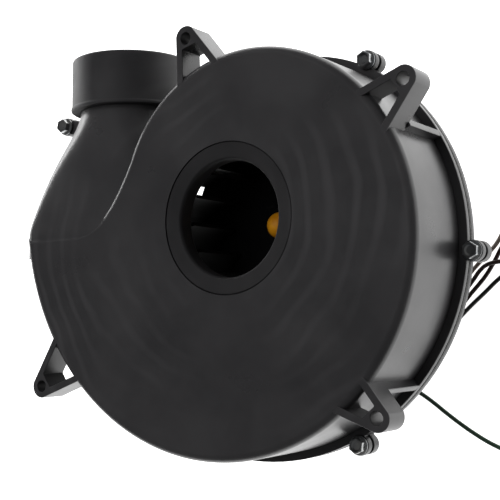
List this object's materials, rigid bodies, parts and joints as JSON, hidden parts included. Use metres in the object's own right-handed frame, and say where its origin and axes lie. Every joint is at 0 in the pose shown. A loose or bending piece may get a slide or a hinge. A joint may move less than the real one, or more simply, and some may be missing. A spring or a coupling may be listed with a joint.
{
  "type": "furnace draft inducer fan",
  "caption": "Combustion air fan: black moulded volute housing with round side outlet, centre inlet, impeller and motor behind it, and loose leads.",
  "frame": {"origin": "on the shaft's axis, at the flat rear face of the motor that the fan stands on", "axes": "+Z along the shaft from the motor to the inlet, +Y towards the outlet, +X completes the right-handed set"},
  "size_m": [0.261, 0.2032, 0.1506],
  "materials": {
    "black_plastic": "moulded, satin with faint scuffs",
    "gasket_foam": "light grey sheet",
    "black_rubber": "matte",
    "yellow_plastic": "smooth",
    "zinc_plate": "bright zinc plating",
    "galvanised_steel": "galvanised, slightly dull",
    "laminations": "stacked sheet, dark",
    "copper": "varnished windings",
    "bronze": "sintered",
    "steel": "ground",
    "tinned_brass": "tinned",
    "nylon": "translucent off-white",
    "brown_wire": "insulation",
    "white_wire": "insulation",
    "black_wire": "insulation",
    "green_wire": "insulation"
  },
  "bodies": {
    "fan_frame": {"front_housing": "black_plastic", "rear_housing": "black_plastic", "outlet_collar": "black_plastic", "inlet_ring": "black_plastic", "housing_gasket": "gasket_foam", "shaft_seal": "black_rubber", "lead_grommet": "black_rubber", "housing_screw_1": "zinc_plate", "housing_screw_2": "zinc_plate", "housing_screw_3": "zinc_plate", "housing_screw_4": "zinc_plate", "housing_screw_5": "zinc_plate", "housing_screw_6": "zinc_plate", "motor_mount_screw_1": "zinc_plate", "motor_mount_screw_2": "zinc_plate", "motor_mount_screw_3": "zinc_plate", "through_bolt_1": "zinc_plate", "through_bolt_2": "zinc_plate", "through_bolt_3": "zinc_plate", "through_bolt_4": "zinc_plate", "ground_screw": "zinc_plate", "front_end_bell": "galvanised_steel", "rear_end_bell": "galvanised_steel", "motor_standoff_1": "galvanised_steel", "motor_standoff_2": "galvanised_steel", "motor_standoff_3": "galvanised_steel", "stator_core": "laminations", "front_winding": "copper", "rear_winding": "copper", "front_bearing": "bronze", "rear_bearing": "bronze", "ground_terminal": "tinned_brass", "lead_brown_a": "brown_wire", "lead_brown_a_coil": "brown_wire", "lead_brown_a_terminal": "nylon", "lead_brown_b": "brown_wire", "lead_brown_b_coil": "brown_wire", "lead_brown_b_terminal": "nylon", "lead_white": "white_wire", "lead_white_coil": "white_wire", "lead_white_terminal": "nylon", "lead_black": "black_wire", "lead_black_coil": "black_wire", "lead_black_terminal": "nylon", "lead_green": "green_wire", "lead_green_coil": "green_wire", "lead_green_terminal": "nylon"},
    "rotor": {"motor_shaft": "steel", "impeller": "black_plastic", "hub_cap": "yellow_plastic", "cooling_fan": "black_plastic", "rotor_core": "laminations", "front_thrust_washer": "steel", "rear_thrust_washer": "steel"}
  },
  "joints": [
    {"name": "rotor_spin", "type": "hinge", "parent": "fan_frame", "child": "rotor", "pos_m": [0, 0, 0.1], "axis": [0, 0, 1], "continuous": true}
  ]
}
